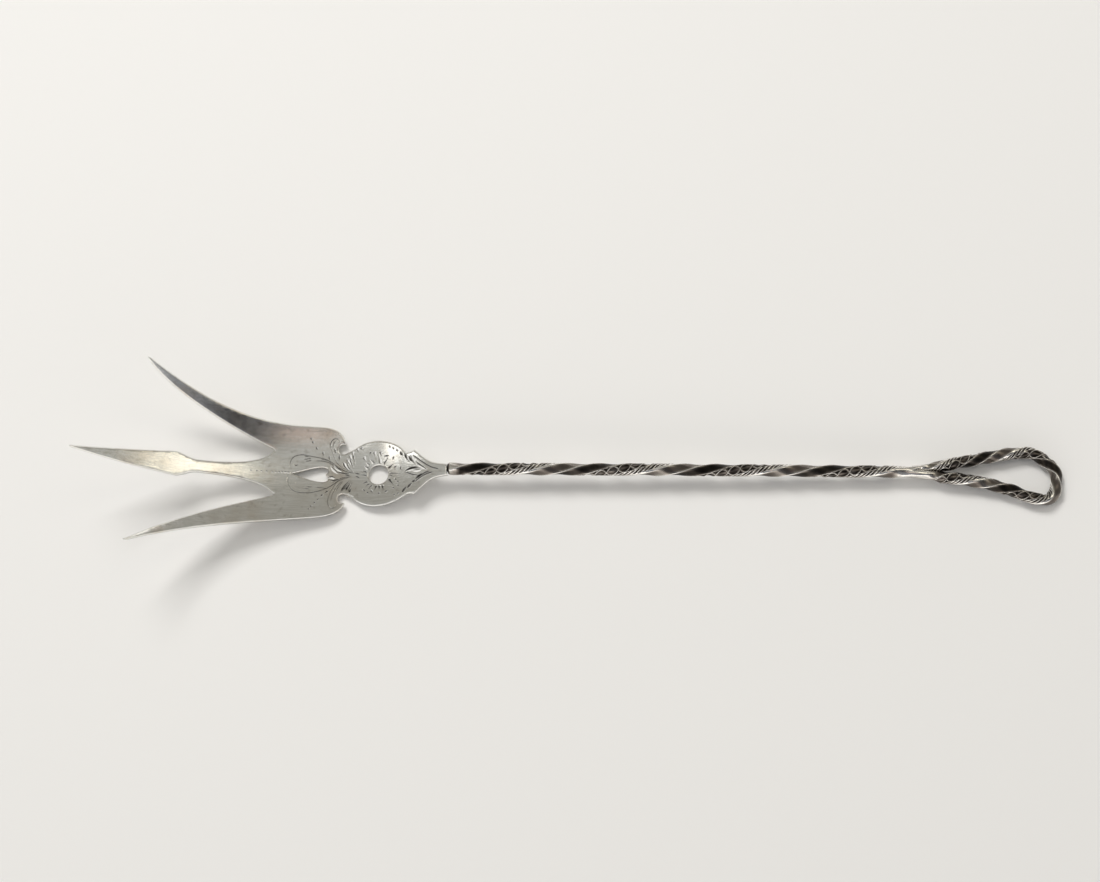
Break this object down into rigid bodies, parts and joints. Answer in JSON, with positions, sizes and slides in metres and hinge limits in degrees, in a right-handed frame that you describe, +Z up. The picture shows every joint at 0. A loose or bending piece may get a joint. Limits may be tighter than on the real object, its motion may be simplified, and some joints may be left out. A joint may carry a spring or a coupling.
{
  "type": "lettuce fork",
  "caption": "Serving fork with a pierced, cupped three-tine head, bright-cut ornament and a twisted wire handle that ends in a divided hanging loop.",
  "frame": {"origin": "middle of the footprint, on the surface that the palm and the end of the loop rest on", "axes": "+X from the tines to the loop along the fork, +Y to the side of the loop's returning leg, +Z up, with the tines curving up"},
  "size_m": [0.234, 0.0446, 0.0223],
  "materials": {
    "polished_silver": "polished sheet silver with bright-cut lines, fine wear scratches and light tarnish",
    "dark_silver": "oxidised silver wire, dark in the chasing and bright on the ridges"
  },
  "bodies": {
    "root": {"fork_head": "polished_silver", "twisted_handle": "dark_silver"}
  },
  "joints": []
}
